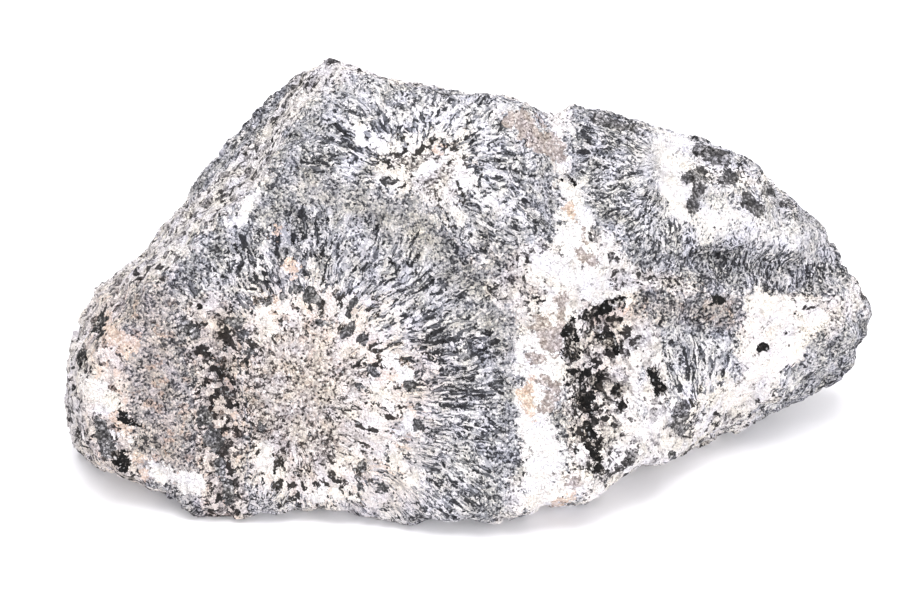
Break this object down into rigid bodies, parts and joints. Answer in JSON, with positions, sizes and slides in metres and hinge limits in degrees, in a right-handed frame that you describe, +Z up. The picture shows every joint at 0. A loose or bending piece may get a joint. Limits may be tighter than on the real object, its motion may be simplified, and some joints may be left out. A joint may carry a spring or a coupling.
{
  "type": "orbicular granite block",
  "caption": "Broken block of orbicular granite with radial black-and-white orbicules and a pale quartz vein, resting on a broken flat.",
  "frame": {"origin": "centre of the bounding box in plan, on the flat that the block rests on", "axes": "+Z up, +X along the block's length towards its thinner end, -Y out of the broken front that shows the orbicules"},
  "size_m": [0.208, 0.097, 0.0994],
  "materials": {
    "granite": "rough broken surface, salt-and-pepper grey granite with black mica laths, white and peach feldspar and pale quartz"
  },
  "bodies": {
    "root": {"granite_block": "granite"}
  },
  "joints": []
}
